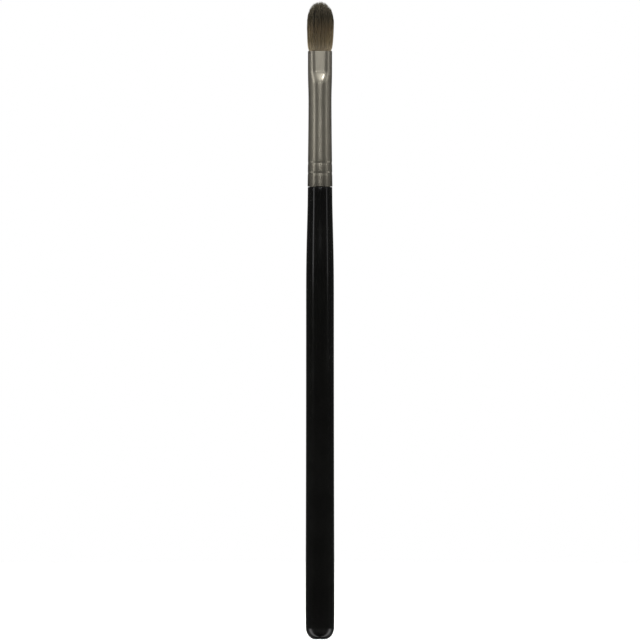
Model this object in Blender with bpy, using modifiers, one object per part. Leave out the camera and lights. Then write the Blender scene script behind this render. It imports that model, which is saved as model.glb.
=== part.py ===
"""A long-handled eye and lip brush: lacquered handle, pressed ferrule and domed hair tuft.

The brush stands on the centre of its butt end, with +Z along the handle towards the hair.
The flat front of the ferrule and of the tuft faces -Y. Lengths are in metres.
"""

import math
import random

import bmesh
import bpy
from mathutils import Matrix, Vector
from mathutils.geometry import delaunay_2d_cdt

MM = 0.001

# Fits and mesh fineness
CLEARANCE = 0.25 * MM  # between neighbouring pieces, in a bore or end to end
MERGE_DISTANCE = 0.002 * MM
ROUND_STEPS = 40  # faces round every turned or pressed piece, a multiple of 4
SHARP_ANGLE = math.radians(32)

# Handle: a birch rod turned in one piece with its tenon, dipped in black lacquer
HANDLE_LENGTH = 123.7 * MM  # from the butt end to the shoulder that the ferrule seats on
BUTT_FLAT_RADIUS = 1.4 * MM
BUTT_DOME_HEIGHT = 3.3 * MM
BUTT_RADIUS = 3.9 * MM
WIDEST_RADIUS = 3.95 * MM
WIDEST_HEIGHT = 8.5 * MM
BODY_RADIUS = 3.82 * MM  # where the long taper ends and the neck begins
NECK_LENGTH = 31.0 * MM
NECK_POWER = 1.35  # how late the neck draws in towards the shoulder
SHOULDER_STEP = 0.05 * MM  # how far the handle stands back from the ferrule's outside
SHOULDER_ROUND = 0.22 * MM
TENON_LENGTH = 18.0 * MM
NOSE_LENGTH = 3.0 * MM  # the thinner end of the tenon, which leaves room for glue
NOSE_CHAMFER = 0.5 * MM

# Ferrule: a seamless brass tube, flared and crimped on the tenon, pressed flat at the mouth
FERRULE_WALL = 0.3 * MM
FERRULE_BASE_RADIUS = 3.41 * MM
FERRULE_WAIST_RADIUS = 3.15 * MM
WAIST_TO_PRESS = 4.7 * MM  # the round stretch between the waist and the pressed part
FLARE_POWER = 1.5  # how the flare dies out towards the waist
CRIMP_COUNT = 2
CRIMP_HEIGHT = 3.6 * MM  # from the ferrule's base to the first crimp ring
CRIMP_SPACING = 2.8 * MM
CRIMP_WIDTH = 1.3 * MM
CRIMP_DEPTH = 0.055 * MM
PRESS_FADE = 3.6 * MM  # over which the round tube turns into the pressed flats
PRESS_TAPER = 0.2 * MM  # how much thicker the flats are at their lower end
MOUTH_WIDTH = 6.62 * MM
MOUTH_THICKNESS = 4.3 * MM
RIM_ROUND = 0.07 * MM
RIM_ANGLE = math.radians(60)

# Glue and resin inside the ferrule
GLUE_WALL = 0.45 * MM  # the glue round the tenon's nose
GLUE_FLOOR = 0.75 * MM  # the glue ahead of the tenon's end
RESIN_LENGTH = 5.5 * MM
MENISCUS_HEIGHT = 0.35 * MM  # how far the resin crept up the ferrule's wall
MENISCUS_WIDTH = 0.45 * MM

# Root binding: one thread wound round the tied root
THREAD_DIAMETER = 0.28 * MM
THREAD_PITCH = 0.72 * MM
THREAD_TURNS = 4
THREAD_POINTS_PER_TURN = 20

# Tuft: natural hair, tied and packed solid in the ferrule and open above its mouth
TAIL_STEP = 0.5 * MM  # how much slimmer than the tie the root ends in the resin are
TAIL_LENGTH = 2.4 * MM
TIE_MARGIN = 0.26 * MM  # from the thread's ends to the ends of the tied waist
TIE_TAPER = 1.7 * MM  # between the tied waist and the packed hair
PACK_LENGTH = 6.65 * MM
PACK_RECESS = 0.6 * MM  # from where the hair stops being packed solid up to the mouth
TUFT_LENGTH = 13.9 * MM  # from the ferrule's mouth to the tip
BELLY_WIDTH = 7.46 * MM
BELLY_THICKNESS = 4.94 * MM
BELLY_HEIGHT = 7.7 * MM  # from the mouth to the widest place
SWELL_POWER = 2.6  # how fast the hair swells as it leaves the mouth
DOME_POWER = 1.75  # how blunt the dome above the belly is
TIP_GATHER_SHARE = 0.45  # how far the hair draws in from the belly to the tip
STRAND_COUNT = 405  # about, as many as staggered rows hold
STRAND_ROW_ANGLE = math.radians(11)  # of the staggered rows to the tuft's flat side
STRAND_MARGIN = 0.12 * MM  # from a strand's root to the edge of the packed hair
STRAND_RADIUS_SHARE = 0.41  # of the spacing between strands
STRAND_RING_SHARES = (0.2, 0.62)  # of a strand's free length
STRAND_SCATTER_SHARE = 0.08  # of the spacing between strands
DOME_HALVINGS = 40  # of the search for where a strand meets the dome
TIP_SCATTER_SHARE = 0.035  # of the rise from the belly to the tip
SCATTER_SEED = 7

# Levels, stacked up from the butt end, and radii worked out from the bore
NECK_BASE = HANDLE_LENGTH - NECK_LENGTH
TENON_TOP = HANDLE_LENGTH + TENON_LENGTH
NOSE_BASE = TENON_TOP - NOSE_LENGTH
GLUE_TOP = TENON_TOP + CLEARANCE + GLUE_FLOOR
RESIN_BASE = GLUE_TOP + CLEARANCE
RESIN_TOP = RESIN_BASE + RESIN_LENGTH
TIE_BASE = RESIN_TOP + CLEARANCE
TIE_TOP = TIE_BASE + THREAD_TURNS * THREAD_PITCH + 2 * TIE_MARGIN
PACK_BASE = TIE_TOP + TIE_TAPER
PACK_TOP = PACK_BASE + PACK_LENGTH
FERRULE_BASE = HANDLE_LENGTH + CLEARANCE
PRESS_BASE = TIE_TOP
PRESS_TOP = PRESS_BASE + PRESS_FADE
FERRULE_WAIST = PRESS_BASE - WAIST_TO_PRESS
MOUTH = PACK_TOP + PACK_RECESS
BORE_INSET = FERRULE_WALL + CLEARANCE
SHOULDER_RADIUS = FERRULE_BASE_RADIUS - SHOULDER_STEP
NOSE_RADIUS = FERRULE_WAIST_RADIUS - BORE_INSET - GLUE_WALL - CLEARANCE
THREAD_RADIUS = FERRULE_WAIST_RADIUS - BORE_INSET - THREAD_DIAMETER / 2
TIE_RADIUS = THREAD_RADIUS - THREAD_DIAMETER / 2 - CLEARANCE
TAIL_RADIUS = TIE_RADIUS - TAIL_STEP

# Linear colour, roughness and metallic value of each material
MATERIALS = {
    "black_lacquer": ((0.006, 0.006, 0.005), 0.16, 0.0),
    "nickel_plate": ((0.47, 0.45, 0.40), 0.32, 1.0),
    "natural_hair": ((0.060, 0.045, 0.030), 0.55, 0.0),
    "clear_epoxy": ((0.42, 0.30, 0.13), 0.20, 0.0),
    "linen_thread": ((0.62, 0.56, 0.45), 0.80, 0.0),
    "wood_glue": ((0.70, 0.62, 0.40), 0.35, 0.0),
}


def smoothstep(share):
    """Ease from 0 to 1 with level ends."""
    share = min(max(share, 0.0), 1.0)
    return share * share * (3.0 - 2.0 * share)


def spread(low, high, steps):
    """Evenly spaced values from low to high, both included."""
    return [low + (high - low) * step / steps for step in range(steps + 1)]


def make_material(name):
    colour, roughness, metallic = MATERIALS[name]
    material = bpy.data.materials.new(name)
    material.use_nodes = True
    shader = material.node_tree.nodes["Principled BSDF"]
    shader.inputs["Base Color"].default_value = (*colour, 1.0)
    shader.inputs["Roughness"].default_value = roughness
    shader.inputs["Metallic"].default_value = metallic
    material.diffuse_color = (*colour, 1.0)
    return material


def add_object(name, data, material_name, collection):
    piece = bpy.data.objects.new(name, data)
    collection.objects.link(piece)
    data.materials.append(make_material(material_name))
    return piece


def add_mesh_object(name, bm, material_name, collection):
    mesh = bpy.data.meshes.new(name)
    bm.to_mesh(mesh)
    bm.free()
    return add_object(name, mesh, material_name, collection)


def bake_modifiers(piece):
    """Make the modifiers' result the object's own mesh, smooth but for its sharp edges."""
    depsgraph = bpy.context.evaluated_depsgraph_get()
    mesh = bpy.data.meshes.new_from_object(piece.evaluated_get(depsgraph))
    piece.modifiers.clear()
    piece.data = mesh
    mesh.shade_smooth()
    mesh.set_sharp_from_angle(angle=SHARP_ANGLE)


def turn(name, outline, material_name, collection):
    """Turn an outline of (radius, height) about Z. It runs down the outer side, top to bottom."""
    mesh = bpy.data.meshes.new(name)
    points = [(radius, 0.0, height) for radius, height in outline]
    edges = [(index, index + 1) for index in range(len(points) - 1)]
    mesh.from_pydata(points, edges, [])
    piece = add_object(name, mesh, material_name, collection)
    screw = piece.modifiers.new("Turned", "SCREW")
    screw.steps = ROUND_STEPS
    screw.render_steps = ROUND_STEPS
    screw.use_merge_vertices = True
    screw.merge_threshold = MERGE_DISTANCE
    bake_modifiers(piece)
    return piece


def loft(bm, rings):
    """Skin rings of equally many points with quads, and return each ring's vertices."""
    loops = [[bm.verts.new(point) for point in ring] for ring in rings]
    for lower, upper in zip(loops, loops[1:]):
        for step in range(len(lower)):
            after = (step + 1) % len(lower)
            bm.faces.new((lower[step], lower[after], upper[after], upper[step]))
    return loops


def oval_ring(half_width, half_thickness, height):
    """Points round an oval of two half circles joined by flats, or a circle if the halves are equal."""
    radius = min(half_width, half_thickness)
    ring = []
    for step in range(ROUND_STEPS):
        angle = 2.0 * math.pi * (step + 0.5) / ROUND_STEPS
        x = math.copysign(half_width - radius, math.cos(angle)) + radius * math.cos(angle)
        y = math.copysign(half_thickness - radius, math.sin(angle)) + radius * math.sin(angle)
        ring.append((x, y, height))
    return ring


def oval_share(x, y, half_width, half_thickness):
    """How far out a point lies in such an oval: 0 at its centre and 1 on its edge."""
    along, across = abs(x), abs(y)
    if half_thickness > half_width:
        along, across = across, along
    radius = min(half_width, half_thickness)
    core = max(half_width, half_thickness) - radius
    if along * radius <= core * across:
        return across / radius
    square = along * along + across * across
    reach = core * along
    return square / (reach + math.sqrt(reach * reach + (radius * radius - core * core) * square))


def crimp_depth(height):
    """How far the crimp rings press the tube in at this height."""
    for ring in range(CRIMP_COUNT):
        offset = height - (FERRULE_BASE + CRIMP_HEIGHT + ring * CRIMP_SPACING)
        if abs(offset) < CRIMP_WIDTH / 2:
            return CRIMP_DEPTH * math.cos(math.pi * offset / CRIMP_WIDTH) ** 2
    return 0.0


def tube_radius(height):
    """Outer radius of the ferrule as a round tube, before its mouth is pressed."""
    rise = (height - FERRULE_BASE) / (FERRULE_WAIST - FERRULE_BASE)
    flare = (FERRULE_BASE_RADIUS - FERRULE_WAIST_RADIUS) * max(1.0 - rise, 0.0) ** FLARE_POWER
    return FERRULE_WAIST_RADIUS + flare - crimp_depth(height)


def ferrule_section(height, inset=0.0):
    """Half width and half thickness of the ferrule's outside, or of what lies inset within it."""
    radius = tube_radius(height)
    widening = smoothstep((height - FERRULE_WAIST) / (PRESS_TOP - FERRULE_WAIST))
    half_width = radius + (MOUTH_WIDTH / 2 - radius) * widening
    pressing = smoothstep((height - PRESS_BASE) / PRESS_FADE)
    taper = PRESS_TAPER * (MOUTH - height) / (MOUTH - PRESS_BASE)
    half_thickness = radius + ((MOUTH_THICKNESS + taper) / 2 - radius) * pressing
    return half_width - inset, half_thickness - inset


def ferrule_levels():
    """Heights of the ferrule's rings: closer where it is crimped, pressed and widened."""
    levels = [FERRULE_BASE]
    for ring in range(CRIMP_COUNT):
        middle = FERRULE_BASE + CRIMP_HEIGHT + ring * CRIMP_SPACING
        levels += spread(middle - CRIMP_WIDTH / 2, middle + CRIMP_WIDTH / 2, 4)
    levels += spread(levels[-1], FERRULE_WAIST, 4)[1:]
    levels += spread(FERRULE_WAIST, PRESS_BASE, 2)[1:]
    levels += spread(PRESS_BASE, PRESS_TOP, 7)[1:]
    levels += spread(PRESS_TOP, MOUTH, 2)[1:]
    return levels


def build_handle(collection):
    outline = [(0.0, TENON_TOP), (NOSE_RADIUS - NOSE_CHAMFER, TENON_TOP)]
    outline.append((NOSE_RADIUS, TENON_TOP - NOSE_CHAMFER))
    outline.append((NOSE_RADIUS, NOSE_BASE))
    # The tenon fits the ferrule's bore, flare and crimp rings included
    levels = [NOSE_BASE] + [height for height in reversed(ferrule_levels()) if height < NOSE_BASE]
    outline += [(tube_radius(height) - BORE_INSET, height) for height in levels]
    outline.append((tube_radius(FERRULE_BASE) - BORE_INSET, HANDLE_LENGTH))
    # The shoulder's edge is a quarter round
    for angle in spread(0.0, math.pi / 2, 3):
        radius = SHOULDER_RADIUS - SHOULDER_ROUND * (1.0 - math.sin(angle))
        outline.append((radius, HANDLE_LENGTH - SHOULDER_ROUND * (1.0 - math.cos(angle))))
    for share in spread(1.0, 0.0, 8)[1:]:
        radius = BODY_RADIUS + (SHOULDER_RADIUS - BODY_RADIUS) * smoothstep(share ** NECK_POWER)
        outline.append((radius, NECK_BASE + (NECK_LENGTH - SHOULDER_ROUND) * share))
    for share in spread(1.0, 0.0, 5)[1:]:
        radius = BODY_RADIUS + (WIDEST_RADIUS - BODY_RADIUS) * (1.0 - share) ** 2
        outline.append((radius, WIDEST_HEIGHT + (NECK_BASE - WIDEST_HEIGHT) * share))
    # The butt end is a quarter ellipse down to a small flat
    for angle in spread(math.pi / 2, 0.0, 7):
        radius = BUTT_FLAT_RADIUS + (BUTT_RADIUS - BUTT_FLAT_RADIUS) * math.sin(angle)
        outline.append((radius, BUTT_DOME_HEIGHT * (1.0 - math.cos(angle))))
    outline.append((0.0, 0.0))
    turn("handle", outline, "black_lacquer", collection)


def build_ferrule(collection):
    bm = bmesh.new()
    loft(bm, [oval_ring(*ferrule_section(height), height) for height in ferrule_levels()])
    ferrule = add_mesh_object("ferrule", bm, "nickel_plate", collection)
    wall = ferrule.modifiers.new("Tube wall", "SOLIDIFY")
    wall.thickness = FERRULE_WALL
    wall.offset = -1.0
    wall.use_even_offset = True
    rims = ferrule.modifiers.new("Polished rims", "BEVEL")
    rims.width = RIM_ROUND
    rims.segments = 2
    rims.limit_method = "ANGLE"
    rims.angle_limit = RIM_ANGLE
    bake_modifiers(ferrule)


def build_tenon_glue(collection):
    """A cup of set glue that holds the tenon's nose."""
    hollow = NOSE_RADIUS + CLEARANCE
    skirt_base = NOSE_BASE + CLEARANCE
    ceiling = TENON_TOP + CLEARANCE
    outline = [
        (0.0, GLUE_TOP),
        (tube_radius(GLUE_TOP) - BORE_INSET, GLUE_TOP),
        (tube_radius(skirt_base) - BORE_INSET, skirt_base),
        (hollow, skirt_base),
        (hollow, ceiling - NOSE_CHAMFER),
        (hollow - NOSE_CHAMFER, ceiling),
        (0.0, ceiling),
    ]
    turn("tenon_glue", outline, "wood_glue", collection)


def build_root_resin(collection):
    """The epoxy plug, with a socket where the root ends stand and a rim that crept up the wall."""
    socket = TAIL_RADIUS + CLEARANCE
    rim = tube_radius(RESIN_TOP) - BORE_INSET
    outline = [
        (0.0, RESIN_TOP - TAIL_LENGTH),
        (socket, RESIN_TOP - TAIL_LENGTH),
        (socket, RESIN_TOP - MENISCUS_HEIGHT),
        (rim - MENISCUS_WIDTH, RESIN_TOP - MENISCUS_HEIGHT),
    ]
    outline += [(tube_radius(height) - BORE_INSET, height) for height in spread(RESIN_TOP, RESIN_BASE, 2)]
    outline.append((0.0, RESIN_BASE))
    turn("root_resin", outline, "clear_epoxy", collection)


def build_root_binding(collection):
    """A thread wound round the tied root as one open helix."""
    points = []
    for step in range(THREAD_TURNS * THREAD_POINTS_PER_TURN + 1):
        turns = step / THREAD_POINTS_PER_TURN
        angle = 2.0 * math.pi * turns
        height = TIE_BASE + TIE_MARGIN + THREAD_PITCH * turns
        points.append(Vector((THREAD_RADIUS * math.cos(angle), THREAD_RADIUS * math.sin(angle), height)))
    half_turn = THREAD_POINTS_PER_TURN // 2
    distances = [(later - point).length for index, point in enumerate(points)
                 for later in points[index + half_turn:]]
    print(f"least gap of the thread to itself: {(min(distances) - THREAD_DIAMETER) / MM:.2f} mm")
    curve = bpy.data.curves.new("root_binding", "CURVE")
    curve.dimensions = "3D"
    curve.bevel_depth = THREAD_DIAMETER / 2
    curve.bevel_resolution = 1
    curve.use_fill_caps = True
    spline = curve.splines.new("POLY")
    spline.points.add(len(points) - 1)
    for spline_point, point in zip(spline.points, points):
        spline_point.co = (*point, 1.0)
    add_object("root_binding", curve, "linen_thread", collection)


def gather(rise):
    """How much of its spread at the belly the hair keeps, part of the way from there to the tip."""
    return 1.0 - TIP_GATHER_SHARE * rise ** DOME_POWER


def tip_rise(out):
    """How far from the belly to the tip a strand this far out meets the dome, which is nearly an ellipse."""
    low, high = 0.0, 1.0
    for _ in range(DOME_HALVINGS):
        rise = (low + high) / 2
        if out * gather(rise) < math.sqrt(1.0 - rise ** DOME_POWER):
            low = rise
        else:
            high = rise
    return low


def tuft_section(height):
    """Half width and half thickness of the hair at a height above the ferrule's mouth."""
    if height > BELLY_HEIGHT:
        kept = gather((height - BELLY_HEIGHT) / (TUFT_LENGTH - BELLY_HEIGHT))
        return BELLY_WIDTH / 2 * kept, BELLY_THICKNESS / 2 * kept
    swelling = 1.0 - (1.0 - height / BELLY_HEIGHT) ** SWELL_POWER
    half_width, half_thickness = ferrule_section(MOUTH, FERRULE_WALL)
    half_width += (BELLY_WIDTH / 2 - half_width) * swelling
    half_thickness += (BELLY_THICKNESS / 2 - half_thickness) * swelling
    return half_width, half_thickness


def strand_places(half_width, half_thickness):
    """Where the strands stand on the packed hair, in staggered rows, and the spacing between them."""
    scatter = random.Random(SCATTER_SEED)
    radius = min(half_width, half_thickness)
    area = 4.0 * half_width * half_thickness - (4.0 - math.pi) * radius * radius
    row_share = math.sqrt(3.0) / 2
    pitch = math.sqrt(area / STRAND_COUNT / row_share)
    reach = math.ceil(max(half_width, half_thickness) / pitch / row_share)
    places = []
    for row in range(-reach, reach + 1):
        for column in range(-reach, reach + 1):
            place = Vector((column + row % 2 / 2, row * row_share)) * pitch
            place.rotate(Matrix.Rotation(STRAND_ROW_ANGLE, 2))
            if oval_share(*place, half_width, half_thickness) < 1.0:
                shift = Vector((scatter.uniform(-1.0, 1.0), scatter.uniform(-1.0, 1.0)))
                places.append(place + shift * STRAND_SCATTER_SHARE * pitch)
    return places, pitch


def strand_course(place, half_width, half_thickness, root_radius, shortfall):
    """The centre and radius of each ring up a strand above its root, with the tip as the last."""
    rise = tip_rise(oval_share(*place, half_width, half_thickness)) * (1.0 - shortfall)
    length = BELLY_HEIGHT + (TUFT_LENGTH - BELLY_HEIGHT) * rise
    course = []
    for share in (*STRAND_RING_SHARES, 1.0):
        wide, thick = tuft_section(share * length)
        radius = root_radius * min(wide / half_width, thick / half_thickness) if share < 1.0 else 0.0
        x = place.x * (wide - radius) / half_width
        y = place.y * (thick - radius) / half_thickness
        course.append((Vector((x, y, MOUTH + share * length)), radius))
    return course


def cap_with_roots(bm, rim, places, root_radius):
    """Close the top of the packed hair, and return the triangle left at the root of each strand."""
    height = rim[0].co.z
    points = [vert.co.to_2d() for vert in rim]
    faces = [list(range(len(rim)))]
    for place in places:
        faces.append([len(points) + corner for corner in range(3)])
        for corner in range(3):
            angle = 2.0 * math.pi * corner / 3
            points.append(place + Vector((math.cos(angle), math.sin(angle))) * root_radius)
    flat_points, _, flat_faces, sources, _, face_sources = delaunay_2d_cdt(
        points, [], faces, 1, MERGE_DISTANCE)
    corners = []
    for point, source in zip(flat_points, sources):
        corners.append(rim[source[0]] if source[0] < len(rim) else bm.verts.new((*point, height)))
    roots = {}
    for face, covering in zip(flat_faces, face_sources):
        made = bm.faces.new([corners[index] for index in face])
        for strand in covering:
            roots[strand] = made
    return [roots[strand + 1] for strand in range(len(places))]


def grow_strand(bm, root, place, root_radius, course):
    """Raise a strand from its root triangle through the rings of its course, to a point."""
    face = root
    centre = place.to_3d()
    centre.z = root.verts[0].co.z
    radius = root_radius
    for next_centre, next_radius in course[:-1]:
        face = bmesh.ops.extrude_discrete_faces(bm, faces=[face])["faces"][0]
        for vert in face.verts:
            vert.co = next_centre + (vert.co - centre) * (next_radius / radius)
        centre, radius = next_centre, next_radius
    tip = bmesh.ops.poke(bm, faces=[face])["verts"][0]
    tip.co = course[-1][0]


def build_hair_tuft(collection):
    """The packed roots, with their tied waist and tail, and the strands that stand on them."""
    rings = [
        oval_ring(TAIL_RADIUS, TAIL_RADIUS, TIE_BASE - TAIL_LENGTH),
        oval_ring(TAIL_RADIUS, TAIL_RADIUS, TIE_BASE),
        oval_ring(TIE_RADIUS, TIE_RADIUS, TIE_BASE),
        oval_ring(TIE_RADIUS, TIE_RADIUS, TIE_TOP),
    ]
    for height in spread(PACK_BASE, PACK_TOP, 4):
        rings.append(oval_ring(*ferrule_section(height, BORE_INSET), height))
    bm = bmesh.new()
    loops = loft(bm, rings)
    bm.faces.new(reversed(loops[0]))
    half_width, half_thickness = ferrule_section(PACK_TOP, BORE_INSET + STRAND_MARGIN)
    places, pitch = strand_places(half_width, half_thickness)
    root_radius = STRAND_RADIUS_SHARE * pitch
    roots = cap_with_roots(bm, loops[-1], places, root_radius)
    shortfall = random.Random(SCATTER_SEED)
    for place, root in zip(places, roots):
        course = strand_course(
            place, half_width, half_thickness, root_radius, shortfall.uniform(0.0, TIP_SCATTER_SHARE))
        grow_strand(bm, root, place, root_radius, course)
    print("strands in the tuft:", len(places))
    add_mesh_object("hair_tuft", bm, "natural_hair", collection)


def build_brush():
    for leftover in list(bpy.data.objects):
        bpy.data.objects.remove(leftover)
    collection = bpy.data.collections.new("makeup_brush")
    bpy.context.scene.collection.children.link(collection)
    build_handle(collection)
    build_ferrule(collection)
    build_tenon_glue(collection)
    build_root_resin(collection)
    build_root_binding(collection)
    build_hair_tuft(collection)


build_brush()
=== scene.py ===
import math
import random

import bmesh
import bpy
import numpy as np
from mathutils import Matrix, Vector


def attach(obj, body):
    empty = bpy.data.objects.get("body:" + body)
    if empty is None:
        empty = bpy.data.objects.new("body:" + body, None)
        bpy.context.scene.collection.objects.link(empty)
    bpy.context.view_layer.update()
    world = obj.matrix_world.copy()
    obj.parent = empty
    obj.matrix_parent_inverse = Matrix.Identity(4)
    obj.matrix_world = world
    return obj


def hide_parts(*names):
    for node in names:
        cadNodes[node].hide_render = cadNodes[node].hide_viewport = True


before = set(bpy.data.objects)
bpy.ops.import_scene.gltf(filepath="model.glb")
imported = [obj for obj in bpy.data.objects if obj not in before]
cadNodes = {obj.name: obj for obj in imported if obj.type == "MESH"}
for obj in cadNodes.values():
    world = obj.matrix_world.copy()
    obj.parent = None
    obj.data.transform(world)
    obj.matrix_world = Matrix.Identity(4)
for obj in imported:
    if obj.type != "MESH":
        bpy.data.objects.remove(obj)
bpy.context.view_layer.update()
print("frame loaded:", ", ".join(sorted(cadNodes)))

mm = 0.001  # the sizes of the pieces and of their patterns are in millimetres
meshing = {
    "sharpAngle": 40.0,  # edges that turn by more degrees than this stay crisp
    "weldDistance": 0.0001,
    "axisRadius": 0.01,  # what stands closer to the axis than this lies on it
}


def ease(share):  # from 0 to 1 with level ends, for numbers and numpy arrays alike
    share = np.clip(share, 0.0, 1.0)
    return share * share * (3.0 - 2.0 * share)


def stepsTo(start, end, count):  # even steps from start, which is left out, to end
    return list(np.linspace(start, end, count + 1)[1:])


def hexColour(code):  # an sRGB hex value as a linear colour
    channels = [int(code[place:place + 2], 16) / 255 for place in (1, 3, 5)]
    return [c / 12.92 if c <= 0.04045 else ((c + 0.055) / 1.055) ** 2.4 for c in channels] + [1.0]


def setInputs(tree, node, inputs):  # each input gets a value, or a link from an output
    for name, value in inputs.items():
        if isinstance(value, bpy.types.NodeSocket):
            tree.links.new(value, node.inputs[name])
        else:
            node.inputs[name].default_value = value


def addNode(tree, kind, inputs=None, **settings):
    node = tree.nodes.new(kind)
    for name, value in settings.items():
        setattr(node, name, value)
    setInputs(tree, node, inputs or {})
    return node


def fillRamp(ramp, stops):  # places and colours, from the low end up
    while len(ramp.elements) < len(stops):
        ramp.elements.new(1.0)
    for element, (position, colour) in zip(ramp.elements, stops):
        element.position = position
        element.color = colour


def newMaterial(name):
    material = bpy.data.materials.new(name)
    material.use_nodes = True
    tree = material.node_tree
    place = addNode(tree, "ShaderNodeTexCoord").outputs["Object"]
    return material, tree, tree.nodes["Principled BSDF"], place


def toMesh(bm, name):
    mesh = bpy.data.meshes.new(name)
    bm.to_mesh(mesh)
    bm.free()
    return mesh


def finishPiece(mesh, material, slot, *nodes):  # the piece stands for the CAD's nodes
    piece = bpy.data.objects.new(mesh.name, mesh)
    bpy.context.scene.collection.objects.link(piece)
    mesh.materials.append(material)
    mesh.shade_smooth()
    mesh.set_sharp_from_angle(angle=math.radians(meshing["sharpAngle"]))
    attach(piece, "root")
    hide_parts(*nodes)
    print(f"{piece.name}: {len(mesh.polygons)} faces")


def spinOutline(outline, turns):  # turns points of radius and height about Z
    bm = bmesh.new()
    verts = [bm.verts.new((radius * mm, 0.0, height * mm)) for radius, height in outline]
    edges = [bm.edges.new(pair) for pair in zip(verts, verts[1:])]
    bmesh.ops.spin(bm, geom=verts + edges, cent=(0, 0, 0), axis=(0, 0, 1),
                   angle=math.tau, steps=turns, use_merge=True)
    bmesh.ops.remove_doubles(bm, verts=bm.verts, dist=meshing["weldDistance"] * mm)
    bmesh.ops.recalc_face_normals(bm, faces=bm.faces)
    return bm


# Camera: level with the middle of the brush, far enough away that its sides stay parallel
cameraSetup = {  # in metres
    "distance": 3.0,
    "aimHeight": 0.0874,
    "viewHeight": 0.1753,  # what the square picture spans at the brush
}

cameraData = bpy.data.cameras.new("camera")
camera = bpy.data.objects.new("camera", cameraData)
camera.location = (0.0, -cameraSetup["distance"], cameraSetup["aimHeight"])
camera.rotation_euler = (math.radians(90), 0.0, 0.0)
cameraData.lens = cameraData.sensor_width * cameraSetup["distance"] / cameraSetup["viewHeight"]
bpy.context.scene.collection.objects.link(camera)
bpy.context.scene.camera = camera
print("camera placed")


# Handle: the same turning as the CAD's, in finer steps, with its shoulder drawn up close under
# the ferrule
handleSizes = {
    "length": 123.83,
    "buttFlat": 1.4, "buttDome": 3.3, "buttRadius": 3.9, "domeSteps": 21,
    "widestRadius": 3.95, "widestHeight": 8.5, "swellSteps": 6,
    "bodyRadius": 3.82, "bodySteps": 39,
    "neckLength": 31.0, "neckPower": 1.35, "neckSteps": 27,
    "shoulderRadius": 3.36, "shoulderRound": 0.22, "roundSteps": 6,
    "tenonTop": 141.7, "noseBase": 138.7, "noseRadius": 1.9, "noseChamfer": 0.5,
    "turns": 144,
}


def handleOutline():
    sizes = handleSizes
    neckBase = sizes["length"] - sizes["neckLength"]
    outline = [(0.0, 0.0), (sizes["buttFlat"], 0.0)]
    for angle in stepsTo(0.0, math.pi / 2, sizes["domeSteps"]):
        radius = sizes["buttFlat"] + (sizes["buttRadius"] - sizes["buttFlat"]) * math.sin(angle)
        outline.append((radius, sizes["buttDome"] * (1.0 - math.cos(angle))))
    for height in stepsTo(sizes["buttDome"], sizes["widestHeight"], sizes["swellSteps"]):
        rise = (height - sizes["buttDome"]) / (sizes["widestHeight"] - sizes["buttDome"])
        swell = (sizes["widestRadius"] - sizes["buttRadius"]) * math.sin(rise * math.pi / 2)
        outline.append((sizes["buttRadius"] + swell, height))
    for share in stepsTo(0.0, 1.0, sizes["bodySteps"]):
        swell = (sizes["widestRadius"] - sizes["bodyRadius"]) * (1.0 - share) ** 2
        height = sizes["widestHeight"] + (neckBase - sizes["widestHeight"]) * share
        outline.append((sizes["bodyRadius"] + swell, height))
    for share in stepsTo(0.0, 1.0, sizes["neckSteps"]):
        drawn = ease(share ** sizes["neckPower"])
        radius = sizes["bodyRadius"] - (sizes["bodyRadius"] - sizes["shoulderRadius"]) * drawn
        height = neckBase + (sizes["neckLength"] - sizes["shoulderRound"]) * share
        outline.append((radius, height))
    for angle in stepsTo(math.pi / 2, 0.0, sizes["roundSteps"]):
        radius = sizes["shoulderRadius"] - sizes["shoulderRound"] * (1.0 - math.sin(angle))
        outline.append((radius, sizes["length"] - sizes["shoulderRound"] * (1.0 - math.cos(angle))))
    # The tenon follows the ferrule's bore
    inBore = [height for height in ferruleLevels() if height < sizes["noseBase"]]
    for height in [sizes["length"], *inBore, sizes["noseBase"]]:
        bore = tubeRadius(max(height, ferruleSizes["base"]))
        outline.append((bore - ferruleSizes["boreInset"], height))
    outline.append((sizes["noseRadius"], sizes["noseBase"]))
    outline.append((sizes["noseRadius"], sizes["tenonTop"] - sizes["noseChamfer"]))
    outline.append((sizes["noseRadius"] - sizes["noseChamfer"], sizes["tenonTop"]))
    outline.append((0.0, sizes["tenonTop"]))
    return outline


# Ferrule: a round tube, flared and crimped, then pressed flat towards its mouth
ferruleSizes = {
    "base": 123.95, "waist": 147.4, "pressBase": 152.1, "pressTop": 155.7, "mouth": 161.05,
    "tubeSteps": 17, "waistSteps": 8, "pressSteps": 24, "mouthSteps": 8,
    "baseRadius": 3.41, "waistRadius": 3.15, "flarePower": 1.5,
    "wall": 0.3, "rimRound": 0.07, "rimSteps": 3,
    # A narrow band beside each rim keeps its rounding out of the wide faces' shading
    "rimBand": 0.12,
    "boreInset": 0.55,  # from the outside in to what fills the bore: the wall and a clearance
    "crimps": [127.55, 130.35], "crimpWidth": 1.3, "crimpDepth": 0.055, "crimpSteps": 12,
    "mouthWidth": 6.62, "mouthThickness": 4.3, "pressTaper": 0.2,
    "softness": 0.22,  # how far the pressed section leans from straight flats to an ellipse
    "turns": 160,
}


def tubeRadius(height):  # the outside of the tube before it is pressed
    sizes = ferruleSizes
    rise = (height - sizes["base"]) / (sizes["waist"] - sizes["base"])
    flare = max(1.0 - rise, 0.0) ** sizes["flarePower"]
    radius = sizes["waistRadius"] + (sizes["baseRadius"] - sizes["waistRadius"]) * flare
    for middle in sizes["crimps"]:
        offset = height - middle
        if abs(offset) < sizes["crimpWidth"] / 2:
            radius -= sizes["crimpDepth"] * math.cos(math.pi * offset / sizes["crimpWidth"]) ** 2
    return radius


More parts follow.
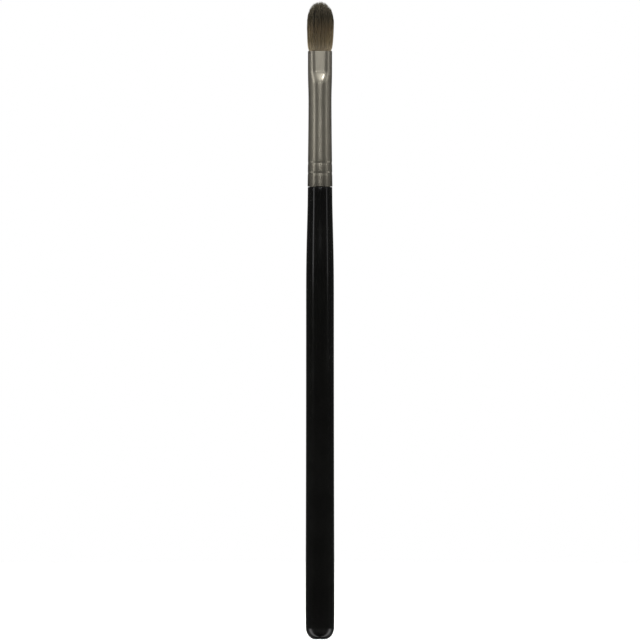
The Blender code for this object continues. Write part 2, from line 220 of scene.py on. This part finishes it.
def ferruleSection(height, inset=0.0):  # half width and half thickness
    sizes = ferruleSizes
    radius = tubeRadius(height)
    widening = ease((height - sizes["waist"]) / (sizes["pressTop"] - sizes["waist"]))
    halfWidth = radius + (sizes["mouthWidth"] / 2 - radius) * widening
    pressing = ease((height - sizes["pressBase"]) / (sizes["pressTop"] - sizes["pressBase"]))
    taper = sizes["pressTaper"] * (sizes["mouth"] - height) / (sizes["mouth"] - sizes["pressBase"])
    halfThickness = radius + ((sizes["mouthThickness"] + taper) / 2 - radius) * pressing
    return halfWidth - inset, halfThickness - inset


def ovalPoint(angle, halfWidth, halfThickness):
    # Flats and round ends, walked at an even pace and softened towards an ellipse
    end = min(halfWidth, halfThickness)
    core = max(halfWidth - end, 0.0)
    quarter = math.floor(angle / (math.pi / 2)) % 4
    turn = angle % (math.pi / 2)
    if quarter % 2:
        turn = math.pi / 2 - turn
    walked = turn / (math.pi / 2) * (core + end * math.pi / 2)
    if walked < end * math.pi / 2:
        x, y = core + end * math.cos(walked / end), end * math.sin(walked / end)
    else:
        x, y = core - (walked - end * math.pi / 2), end
    lean = math.atan2(y * halfWidth, x * halfThickness)
    x += (halfWidth * math.cos(lean) - x) * ferruleSizes["softness"]
    y += (halfThickness * math.sin(lean) - y) * ferruleSizes["softness"]
    return (-x if quarter in (1, 2) else x), (-y if quarter in (2, 3) else y)


def ferruleLevels():  # closer where the tube is crimped and pressed
    sizes = ferruleSizes
    levels = [sizes["base"], sizes["base"] + sizes["rimBand"]]
    reach = sizes["crimpWidth"] / 2
    for middle in sizes["crimps"]:
        levels.append(middle - reach)
        levels += stepsTo(middle - reach, middle + reach, sizes["crimpSteps"])
    levels += stepsTo(levels[-1], sizes["waist"], sizes["tubeSteps"])
    levels += stepsTo(sizes["waist"], sizes["pressBase"], sizes["waistSteps"])
    levels += stepsTo(sizes["pressBase"], sizes["pressTop"], sizes["pressSteps"])
    levels += stepsTo(sizes["pressTop"], sizes["mouth"], sizes["mouthSteps"])
    levels.insert(-1, sizes["mouth"] - sizes["rimBand"])
    return levels


def pressFlat(bm):  # what was turned round takes the section of the pressed ferrule
    for vert in bm.verts:
        height, radius = vert.co.z / mm, math.hypot(vert.co.x, vert.co.y) / mm
        if radius > meshing["axisRadius"]:
            section = ferruleSection(height, tubeRadius(height) - radius)
            x, y = ovalPoint(math.atan2(vert.co.y, vert.co.x), *section)
            vert.co.x, vert.co.y = x * mm, y * mm


def ferruleTube():
    sizes = ferruleSizes
    levels = ferruleLevels()
    outline = [(tubeRadius(height), height) for height in levels]
    outline += [(tubeRadius(height) - sizes["wall"], height) for height in reversed(levels)]
    outline.append(outline[0])
    bm = spinOutline(outline, sizes["turns"])
    sharp = math.radians(meshing["sharpAngle"])
    rims = [edge for edge in bm.edges if edge.calc_face_angle(0.0) > sharp]
    bmesh.ops.bevel(bm, geom=rims, offset=sizes["rimRound"] * mm, offset_type="OFFSET",
                    segments=sizes["rimSteps"], profile=0.5, affect="EDGES", material=-1)
    pressFlat(bm)
    return bm


# Birch dipped in cellulose lacquer, three coats: black to the edge, deep gloss, and faintly wavy
# where it levelled out
lacquerLook = {
    "deep": "#020202", "thin": "#050504",
    "waveWidth": 2.4, "waveHeight": 0.004,
    "handledWidth": 9.0, "gloss": (0.09, 0.17),  # roughness, from untouched to handled
}


def blackLacquer():
    look = lacquerLook
    material, tree, shader, place = newMaterial("dippedCelluloseLacquer")
    ripple = addNode(tree, "ShaderNodeTexNoise",
                     {"Vector": place, "Scale": 1 / (look["waveWidth"] * mm), "Detail": 1.0})
    handling = addNode(tree, "ShaderNodeTexNoise",
                       {"Vector": place, "Scale": 1 / (look["handledWidth"] * mm), "Detail": 3.0})
    gloss = addNode(tree, "ShaderNodeMapRange",
                    {"Value": handling.outputs["Fac"], "From Min": 0.35, "From Max": 0.7,
                     "To Min": look["gloss"][0], "To Max": look["gloss"][1]})
    tint = addNode(tree, "ShaderNodeMix",
                   {"Factor": handling.outputs["Fac"], "A": hexColour(look["deep"]),
                    "B": hexColour(look["thin"])}, data_type="RGBA")
    bump = addNode(tree, "ShaderNodeBump", {"Height": ripple.outputs["Fac"],
                   "Distance": look["waveHeight"] * mm, "Strength": 0.5})
    setInputs(tree, shader, {"Base Color": tint.outputs["Result"], "IOR": 1.5,
                             "Roughness": gloss.outputs["Result"],
                             "Normal": bump.outputs["Normal"]})
    return material


# Drawn brass tube, spun against fine abrasive and nickel plated: soft warm grey with hairlines
# round the tube, and a painted shade darkening it towards the lower end, by the seam with the
# handle
platingLook = {
    "cool": "#c0baa9", "warm": "#cdc7b7", "cloudWidth": 4.0,
    "hairlineWidth": 0.12,  # coarser than real ones, which are too fine to show
    "hairlineDepth": 0.002,
    "hairlineStretch": (0.05, 0.05, 1.0),  # drawn out round the tube
    "satin": (0.29, 0.36),  # roughness
    "shadeLength": 12.0, "shadePower": 0.6, "shadeShare": 0.5,  # painted shade: how far up it reaches, how it eases, and the brightness left at the lower end
}


def brushedNickel():
    look = platingLook
    material, tree, shader, place = newMaterial("satinNickelPlate")
    around = addNode(tree, "ShaderNodeMapping",
                     {"Vector": place, "Scale": look["hairlineStretch"]})
    hairlines = addNode(tree, "ShaderNodeTexNoise",
                        {"Vector": around.outputs["Vector"],
                         "Scale": 1 / (look["hairlineWidth"] * mm), "Detail": 3.0})
    clouds = addNode(tree, "ShaderNodeTexNoise",
                     {"Vector": place, "Scale": 1 / (look["cloudWidth"] * mm), "Detail": 2.0})
    rough = addNode(tree, "ShaderNodeMapRange",
                    {"Value": hairlines.outputs["Fac"], "From Min": 0.38, "From Max": 0.62,
                     "To Min": look["satin"][0], "To Max": look["satin"][1]})
    tint = addNode(tree, "ShaderNodeMix",
                   {"Factor": clouds.outputs["Fac"], "A": hexColour(look["cool"]),
                    "B": hexColour(look["warm"])}, data_type="RGBA")
    # Painted shade: the colour darkens over the lowest 12 mm, to half its brightness at the seam
    # with the handle
    height = addNode(tree, "ShaderNodeSeparateXYZ", {"Vector": place}).outputs["Z"]
    climb = addNode(tree, "ShaderNodeMapRange",
                    {"Value": height, "From Min": ferruleSizes["base"] * mm,
                     "From Max": (ferruleSizes["base"] + look["shadeLength"]) * mm})
    soon = addNode(tree, "ShaderNodeMath",
                   {0: climb.outputs["Result"], 1: look["shadePower"]}, operation="POWER")
    paintedShade = addNode(tree, "ShaderNodeMapRange",
                   {"Value": soon.outputs["Value"], "To Min": look["shadeShare"], "To Max": 1.0})
    shadedTint = addNode(tree, "ShaderNodeVectorMath",
                   {0: tint.outputs["Result"], "Scale": paintedShade.outputs["Result"]}, operation="SCALE")
    bump = addNode(tree, "ShaderNodeBump", {"Height": hairlines.outputs["Fac"],
                   "Distance": look["hairlineDepth"] * mm, "Strength": 0.2})
    setInputs(tree, shader, {"Base Color": shadedTint.outputs["Vector"], "Metallic": 1.0,
                             "Roughness": rough.outputs["Result"],
                             "Normal": bump.outputs["Normal"]})
    return material


turning = spinOutline(handleOutline(), handleSizes["turns"])
finishPiece(toMesh(turning, "turnedHandle"), blackLacquer(), "handle", "handle")
finishPiece(toMesh(ferruleTube(), "pressedFerrule"), brushedNickel(), "ferrule", "ferrule")


# Tuft: pony hair with its natural tips, gathered in a cup to a dome
tuftSizes = {
    "root": 160.25,  # the hairs start just inside the solid packed roots
    "length": 13.85, "bellyHeight": 7.7,
    "bellyWidth": 7.46, "bellyThickness": 4.94, "swellPower": 1.6,
    "spring": 0.31, "springHeight": 0.5,  # how far, and how soon, the hair springs out over the rim
    "domePower": 2.2, "tipGather": 0.45, "domeSteps": 400,
    "mostShortfall": 3.2, "fewness": 0.9,  # how far hairs end below the dome, and how few near it
    "hairRadius": 0.036, "rootRadius": 0.03, "tipRadius": 0.017, "inset": 0.04,
    "rootShare": 0.4, "tipShare": 0.3,  # of its length, over which a hair thickens and thins
    "spacing": 0.078, "rowTilt": 11.0,
    "rowReach": 1.2,  # of the oval's half width, so that the tilted rows cover it
    "scatter": 0.3,  # of the spacing
    "locks": 90, "lockPull": 0.3,
    "lockShare": 0.35,  # of its length, over which a hair doesn't lean to its lock
    "waver": 0.05, "lean": 0.1,
    "rings": 9, "crowding": 0.86,  # how much closer the rings stand towards the tip
    "seed": 12,
}
hairLayers = {  # how far out the hairs of each piece stand, from the middle, 0, to the edge, 1
    "outerHair": (0.72, 1.0),
    "middleHair": (0.45, 0.72),
    "innerHair": (0.0, 0.45),
}


def tuftSection(height):  # half width and half thickness above the mouth, for arrays of heights
    sizes = tuftSizes
    domeHeight = sizes["length"] - sizes["bellyHeight"]
    rise = np.clip((height - sizes["bellyHeight"]) / domeHeight, 0.0, 1.0)
    gathered = 1.0 - sizes["tipGather"] * rise ** sizes["domePower"]
    sprung = sizes["spring"] * (1.0 - np.exp(-np.clip(height, 0.0, None) / sizes["springHeight"]))
    swelling = 1.0 - (1.0 - np.clip(height / sizes["bellyHeight"], 0.0, 1.0)) ** sizes["swellPower"]
    mouth = ferruleSection(ferruleSizes["mouth"], ferruleSizes["wall"] + sizes["inset"])
    halves = []
    for inside, belly in zip(mouth, (sizes["bellyWidth"] / 2, sizes["bellyThickness"] / 2)):
        halves.append((inside + sprung + (belly - inside - sizes["spring"]) * swelling) * gathered)
    return halves


def tipRise(out):  # how far up the dome the hairs end, by how far out they stand
    sizes = tuftSizes
    rises = np.linspace(1.0, 0.0, sizes["domeSteps"])
    domed = rises ** sizes["domePower"]
    return np.interp(out, np.sqrt(1.0 - domed) / (1.0 - sizes["tipGather"] * domed), rises)


def ovalShare(x, y, halfWidth, halfThickness):  # 0 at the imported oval's centre and 1 on its edge
    end = halfThickness
    core = halfWidth - end
    x, y = abs(x), abs(y)
    if x * end <= core * y:
        return y / end
    square = x * x + y * y
    reach = core * x
    return square / (reach + math.sqrt(reach * reach + (end * end - core * core) * square))


def hairPlaces():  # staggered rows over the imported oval, as shares of its two half sizes
    sizes = tuftSizes
    chance = random.Random(sizes["seed"])
    inset = ferruleSizes["wall"] + sizes["inset"] + sizes["rootRadius"]
    halfWidth, halfThickness = ferruleSection(ferruleSizes["mouth"], inset)
    tilt = math.radians(sizes["rowTilt"])
    rows = math.ceil(halfWidth / sizes["spacing"] * sizes["rowReach"])
    places = []
    for row in range(-rows, rows + 1):
        for column in range(-rows, rows + 1):
            along = column + row % 2 / 2 + chance.uniform(-1, 1) * sizes["scatter"]
            across = row * math.sqrt(3) / 2 + chance.uniform(-1, 1) * sizes["scatter"]
            x = (along * math.cos(tilt) - across * math.sin(tilt)) * sizes["spacing"]
            y = (along * math.sin(tilt) + across * math.cos(tilt)) * sizes["spacing"]
            out = ovalShare(x, y, halfWidth, halfThickness)
            if out < 1.0:
                places.append((x / halfWidth, y / halfThickness, out))
    return np.array(places)


def hairMesh(name, count):  # one four-sided hair, drawn up ring by ring to a point, then repeated
    bm = bmesh.new()
    bmesh.ops.create_cube(bm, size=1.0)
    bmesh.ops.translate(bm, verts=bm.verts, vec=(0.0, 0.0, 0.5))
    top = max(bm.faces, key=lambda face: face.calc_center_median().z)
    for ring in range(tuftSizes["rings"] - 1):
        top = bmesh.ops.extrude_discrete_faces(bm, faces=[top])["faces"][0]
        bmesh.ops.translate(bm, verts=top.verts, vec=(0.0, 0.0, 1.0))
    tip = bmesh.ops.poke(bm, faces=[top])["verts"][0]
    tip.co.z += 1.0
    mesh = toMesh(bm, "singleHair")
    single = bpy.data.objects.new("singleHair", mesh)
    bpy.context.scene.collection.objects.link(single)
    repeat = single.modifiers.new("repeat", "ARRAY")
    repeat.count = count
    repeat.use_relative_offset = False
    repeat.use_merge_vertices = False
    depsgraph = bpy.context.evaluated_depsgraph_get()
    repeated = bpy.data.meshes.new_from_object(single.evaluated_get(depsgraph))
    bpy.data.objects.remove(single)
    bpy.data.meshes.remove(mesh)
    repeated.name = name
    return repeated


def gatherInLocks(places, share):  # each hair leans towards the middle of its lock as it rises
    sizes = tuftSizes
    chance = np.random.default_rng(sizes["seed"] + 1)
    angle = chance.uniform(0, math.tau, sizes["locks"])
    out = np.sqrt(chance.random(sizes["locks"]))
    middles = np.stack([np.cos(angle) * out, np.sin(angle) * out], axis=1)
    nearest = np.argmin(((places[:, None, :2] - middles[None]) ** 2).sum(2), axis=1)
    pull = sizes["lockPull"] * ease((share - sizes["lockShare"]) / (1.0 - sizes["lockShare"]))
    across = places[:, 0][:, None] + (middles[nearest, 0] - places[:, 0])[:, None] * pull
    through = places[:, 1][:, None] + (middles[nearest, 1] - places[:, 1])[:, None] * pull
    return across, through


def buildHair(name, places, material):
    sizes = tuftSizes
    chance = np.random.default_rng(sizes["seed"])
    count = len(places)
    mesh = hairMesh(name, count)
    coords = np.zeros(len(mesh.vertices) * 3, np.float32)
    mesh.vertices.foreach_get("co", coords)
    coords = coords.reshape(count, -1, 3).astype(float)
    share = coords[:, :, 2] / (sizes["rings"] + 1)  # up each hair, 0 at its root and 1 at its tip
    share += sizes["crowding"] * share ** 2 * (1.0 - share)
    tip = sizes["bellyHeight"] + (sizes["length"] - sizes["bellyHeight"]) * tipRise(places[:, 2])
    tip -= sizes["mostShortfall"] * chance.random(count) ** sizes["fewness"]
    root = sizes["root"] - ferruleSizes["mouth"]
    height = root + (tip[:, None] - root) * share
    wide, thick = tuftSection(height)
    across, through = gatherInLocks(places, share)
    # Each hair wavers a little by itself, and the whole tuft bows to one side, most at mid height
    bend = chance.normal(0.0, sizes["waver"], (count, 2))
    swing = (share * share)[:, :, None] * bend[:, None, :]
    climbed = np.clip(height / sizes["length"], 0.0, 1.0)
    swing[:, :, 0] += 4.0 * sizes["lean"] * climbed * (1.0 - climbed)
    thickening = ease(share / sizes["rootShare"])
    thinning = ease((share - (1.0 - sizes["tipShare"])) / sizes["tipShare"])
    radius = sizes["rootRadius"] + (sizes["hairRadius"] - sizes["rootRadius"]) * thickening
    radius += (sizes["tipRadius"] - radius) * thinning
    turn = chance.uniform(0, math.tau, count)[:, None]
    cornerX = coords[:, :, 0] * np.cos(turn) - coords[:, :, 1] * np.sin(turn)
    cornerY = coords[:, :, 0] * np.sin(turn) + coords[:, :, 1] * np.cos(turn)
    coords[:, :, 0] = across * wide + swing[:, :, 0] + cornerX * radius * math.sqrt(2)
    coords[:, :, 1] = through * thick + swing[:, :, 1] + cornerY * radius * math.sqrt(2)
    coords[:, :, 2] = ferruleSizes["mouth"] + height
    mesh.vertices.foreach_set("co", (coords * mm).astype(np.float32).ravel())
    tones = np.repeat(chance.random(count), coords.shape[1])
    tone = mesh.attributes.new("hairTone", "FLOAT", "POINT")
    tone.data.foreach_set("value", tones.astype(np.float32))
    mesh.update()
    finishPiece(mesh, material, "hair_tuft", "hair_tuft")


# Undyed pony hair: brown near the ferrule, almost black towards the dome, each hair a little
# different, with a low sheen; lighter again at the very tips, a painted highlight of the light
# falling on the dome from above
hairLook = {
    # the stops at 0.8 and 1.0, lighter again, are a painted highlight on the top of the dome
    "colours": {0.0: "#6d624f", 0.18: "#4f4531", 0.42: "#433826", 0.68: "#2f2a1e",
                0.8: "#403a2e", 1.0: "#565042"},  # up the tuft, from the ferrule to its top
    "tones": (0.62, 1.45),  # the darkest and the lightest hair's share of that colour
}


def ponyHair():
    look = hairLook
    material, tree, shader, place = newMaterial("undyedPonyHair")
    height = addNode(tree, "ShaderNodeSeparateXYZ", {"Vector": place}).outputs["Z"]
    mouth = ferruleSizes["mouth"]
    climb = addNode(tree, "ShaderNodeMapRange",
                    {"Value": height, "From Min": mouth * mm,
                     "From Max": (mouth + tuftSizes["length"]) * mm})
    colourAndTopLight = addNode(tree, "ShaderNodeValToRGB", {"Fac": climb.outputs["Result"]})
    fillRamp(colourAndTopLight.color_ramp, [(rise, hexColour(code)) for rise, code in look["colours"].items()])
    each = addNode(tree, "ShaderNodeAttribute", attribute_name="hairTone")
    lighter = addNode(tree, "ShaderNodeMapRange",
                      {"Value": each.outputs["Fac"],
                       "To Min": look["tones"][0], "To Max": look["tones"][1]})
    mixed = addNode(tree, "ShaderNodeVectorMath",
                    {0: colourAndTopLight.outputs["Color"], "Scale": lighter.outputs["Result"]},
                    operation="SCALE")
    setInputs(tree, shader, {"Base Color": mixed.outputs["Vector"], "Roughness": 0.48, "IOR": 1.4})
    return material


places = hairPlaces()
hair = ponyHair()
print("hairs:", len(places))
for name, (nearest, furthest) in hairLayers.items():
    layer = places[(places[:, 2] > nearest) & (places[:, 2] <= furthest)]
    buildHair(name, layer, hair)


# Roots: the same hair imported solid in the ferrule, over its tied waist and the tail in the resin
rootSizes = {
    "tailBase": 146.3, "tailRadius": 1.57,
    "tieBase": 148.7, "tieTop": 152.1, "tieRadius": 2.07,
    "packBase": 153.8, "packTop": 160.45, "packSteps": 13,
    "turns": 96,
}


def packedRoots():
    sizes = rootSizes
    outline = [(0.0, sizes["tailBase"]), (sizes["tailRadius"], sizes["tailBase"])]
    outline += [(sizes["tailRadius"], sizes["tieBase"]), (sizes["tieRadius"], sizes["tieBase"])]
    outline.append((sizes["tieRadius"], sizes["tieTop"]))
    packed = stepsTo(sizes["packBase"], sizes["packTop"], sizes["packSteps"])
    for height in [sizes["packBase"], *packed]:
        outline.append((tubeRadius(height) - ferruleSizes["boreInset"], height))
    outline.append((0.0, sizes["packTop"]))
    bm = spinOutline(outline, sizes["turns"])
    pressFlat(bm)
    return bm


finishPiece(toMesh(packedRoots(), "packedRoots"), hair, "hair_tuft", "hair_tuft")


# Linen thread of two plies, drawn through wax: dull, with slanting ridges
threadLook = {
    "grooves": "#b9ab8e", "ridges": "#ded4bf", "plyWidth": 1.6, "plyHeight": 0.02,
    "slant": 0.6,  # radians
}


def twistedLinen():
    look = threadLook
    material, tree, shader, place = newMaterial("waxedLinenThread")
    slant = addNode(tree, "ShaderNodeMapping",
                    {"Vector": place, "Rotation": (look["slant"], 0.0, 0.0)})
    plies = addNode(tree, "ShaderNodeTexWave",
                    {"Vector": slant.outputs["Vector"], "Scale": 1 / (look["plyWidth"] * mm),
                     "Distortion": 1.5, "Detail": 2.0}, bands_direction="Z")
    tint = addNode(tree, "ShaderNodeMix",
                   {"Factor": plies.outputs["Fac"], "A": hexColour(look["grooves"]),
                    "B": hexColour(look["ridges"])}, data_type="RGBA")
    bump = addNode(tree, "ShaderNodeBump", {"Height": plies.outputs["Fac"],
                   "Distance": look["plyHeight"] * mm, "Strength": 0.6})
    setInputs(tree, shader, {"Base Color": tint.outputs["Result"], "Roughness": 0.72,
                             "Normal": bump.outputs["Normal"]})
    return material


adhesiveLooks = {
    # Epoxy poured round the roots: clear amber with few bubbles
    "pouredEpoxy": {"clear": "#c79a4e", "cloudy": "#dcbb7c", "streakWidth": 1.2,
                    "roughness": 0.15, "transmission": 0.5},
    # Wood glue, squeezed out and dried: a cloudy yellow
    "whiteWoodGlue": {"clear": "#d9cfa6", "cloudy": "#efe8cb", "streakWidth": 0.7,
                      "roughness": 0.4, "transmission": 0.0},
}


def hardenedAdhesive(name):
    look = adhesiveLooks[name]
    material, tree, shader, place = newMaterial(name)
    streaks = addNode(tree, "ShaderNodeTexNoise",
                      {"Vector": place, "Scale": 1 / (look["streakWidth"] * mm), "Detail": 4.0})
    tint = addNode(tree, "ShaderNodeMix",
                   {"Factor": streaks.outputs["Fac"], "A": hexColour(look["clear"]),
                    "B": hexColour(look["cloudy"])}, data_type="RGBA")
    bump = addNode(tree, "ShaderNodeBump", {"Height": streaks.outputs["Fac"],
                   "Distance": 0.03 * mm, "Strength": 0.4})
    setInputs(tree, shader, {"Base Color": tint.outputs["Result"], "IOR": 1.55,
                             "Roughness": look["roughness"], "Normal": bump.outputs["Normal"],
                             "Transmission Weight": look["transmission"]})
    return material


# Inside the ferrule the CAD's own pieces stay, each with its material
inside = {
    "root_binding": twistedLinen(),
    "root_resin": hardenedAdhesive("pouredEpoxy"),
    "tenon_glue": hardenedAdhesive("whiteWoodGlue"),
}
for node, material in inside.items():
    cadNodes[node].data.materials.clear()
    cadNodes[node].data.materials.append(material)
print("inner pieces coloured")


# Light and floor
studio = {
    "floorRadius": 0.95,  # metres: it ends before the side lamps, and would look shaded past them
    "floorSides": 96, "floorDrop": 0.02,
    "floor": "#f1f1ef", "floorGlow": 0.3,
    "cardGrain": 3.0,  # coarser than a real card's, to show
    "roomLight": 0.7,  # what the walls give everything that isn't glossy
    "room": {-1.0: 0.03, -0.45: 0.2, 0.0: 0.045, 1.0: 0.6},  # what gloss sees, from down to up
    "bankAzimuth": 88.0, "bankGlow": 2.0, "bankFocus": 7.0,  # two banks of light, in gloss alone
    "bankTop": -0.1, "bankFull": -0.25,  # they stand below the horizon, for the views from above
}
softboxes = {
    # Azimuth and elevation in degrees, distance, width and height in metres, watts, and whether
    # gloss shows it
    "key": (17.0, 45.0, 1.2, 0.1, 0.08, 1.5, True),
    "front": (0.0, 13.0, 1.2, 0.5, 0.15, 0.55, True),
    "stripLeft": (-60.0, 17.0, 0.9, 0.16, 0.5, 0.42, True),
    "stripRight": (66.0, 17.0, 0.9, 0.16, 0.5, 0.2, True),
    "fillLeft": (-84.0, 5.0, 1.0, 0.6, 0.9, 30.0, False),
    "fillRight": (84.0, 5.0, 1.0, 0.6, 0.9, 26.0, False),
}


def placeLamp(name, azimuth, elevation, distance, width, height, power, inGloss):
    data = bpy.data.lights.new(name, "AREA")
    data.shape = "RECTANGLE"
    data.size, data.size_y = width, height
    data.energy = power
    lamp = bpy.data.objects.new(name, data)
    around, up = math.radians(azimuth), math.radians(elevation)
    away = Vector((math.sin(around) * math.cos(up), -math.cos(around) * math.cos(up), math.sin(up)))
    lamp.location = Vector((0.0, 0.0, cameraSetup["aimHeight"])) + away * distance
    lamp.rotation_euler = away.to_track_quat("Z", "Y").to_euler()
    lamp.visible_camera = False
    lamp.visible_glossy = inGloss
    bpy.context.scene.collection.objects.link(lamp)


def layFloor():  # matt white card
    bm = bmesh.new()
    bmesh.ops.create_circle(bm, cap_ends=True, segments=studio["floorSides"],
                            radius=studio["floorRadius"])
    bmesh.ops.translate(bm, verts=bm.verts, vec=(0.0, 0.0, -studio["floorDrop"] * mm))
    floor = bpy.data.objects.new("floor", toMesh(bm, "floor"))
    bpy.context.scene.collection.objects.link(floor)
    material, tree, shader, place = newMaterial("matteWhiteCard")
    grain = addNode(tree, "ShaderNodeTexNoise",
                    {"Vector": place, "Scale": 1 / (studio["cardGrain"] * mm), "Detail": 2.0})
    rub = addNode(tree, "ShaderNodeMapRange",
                  {"Value": grain.outputs["Fac"], "To Min": 0.85, "To Max": 0.95})
    white = hexColour(studio["floor"])
    setInputs(tree, shader, {"Base Color": white, "Roughness": rub.outputs["Result"],
                             "Emission Color": white, "Emission Strength": studio["floorGlow"]})
    floor.data.materials.append(material)
    floor.visible_glossy = False  # gloss shows the dim room instead of an endless white card


def calculate(tree, operation, *values):
    inputs = dict(enumerate(values))
    return addNode(tree, "ShaderNodeMath", inputs, operation=operation).outputs["Value"]


def lightRoom():  # plain white to the eye, and a dim room with two banks of light to what is glossy
    world = bpy.data.worlds.new("studio")
    bpy.context.scene.world = world
    world.use_nodes = True
    tree = world.node_tree
    rays = addNode(tree, "ShaderNodeLightPath").outputs
    seen = addNode(tree, "ShaderNodeMapRange", {"Value": rays["Is Camera Ray"],
                   "To Min": studio["roomLight"], "To Max": 1.0})
    plain = tree.nodes["Background"]
    setInputs(tree, plain, {"Color": (1.0, 1.0, 1.0, 1.0), "Strength": seen.outputs["Result"]})

    direction = addNode(tree, "ShaderNodeTexCoord").outputs["Generated"]
    axes = addNode(tree, "ShaderNodeSeparateXYZ", {"Vector": direction}).outputs
    upward = addNode(tree, "ShaderNodeMapRange",
                     {"Value": axes["Z"], "From Min": -1.0, "From Max": 1.0})
    room = addNode(tree, "ShaderNodeValToRGB", {"Fac": upward.outputs["Result"]})
    fillRamp(room.color_ramp, [((rise + 1.0) / 2, (level, level, level, 1.0))
                               for rise, level in studio["room"].items()])

    # A wave round the horizon has its two crests at the banks, and a power narrows them
    around = calculate(tree, "ARCTAN2", axes["X"], axes["Y"])
    middle = 2.0 * math.radians(studio["bankAzimuth"])
    wave = calculate(tree, "COSINE", calculate(tree, "MULTIPLY_ADD", around, 2.0, -middle))
    banks = calculate(tree, "POWER", calculate(tree, "MAXIMUM", wave, 0.0), studio["bankFocus"])
    lowered = addNode(tree, "ShaderNodeMapRange",
                      {"Value": axes["Z"], "From Min": studio["bankTop"],
                       "From Max": studio["bankFull"]}, interpolation_type="SMOOTHSTEP")
    low = calculate(tree, "MULTIPLY", banks, lowered.outputs["Result"])
    glow = calculate(tree, "MULTIPLY", low, studio["bankGlow"])
    lit = addNode(tree, "ShaderNodeVectorMath",
                  {0: room.outputs["Color"], 1: glow}, operation="ADD")
    dim = addNode(tree, "ShaderNodeBackground", {"Color": lit.outputs["Vector"], "Strength": 1.0})
    mixed = addNode(tree, "ShaderNodeMixShader", {0: rays["Is Glossy Ray"],
                    1: plain.outputs["Background"], 2: dim.outputs["Background"]})
    setInputs(tree, tree.nodes["World Output"], {"Surface": mixed.outputs["Shader"]})


for name, settings in softboxes.items():
    placeLamp(name, *settings)
layFloor()
lightRoom()
bpy.context.scene.view_settings.view_transform = "Standard"
print("studio lit")
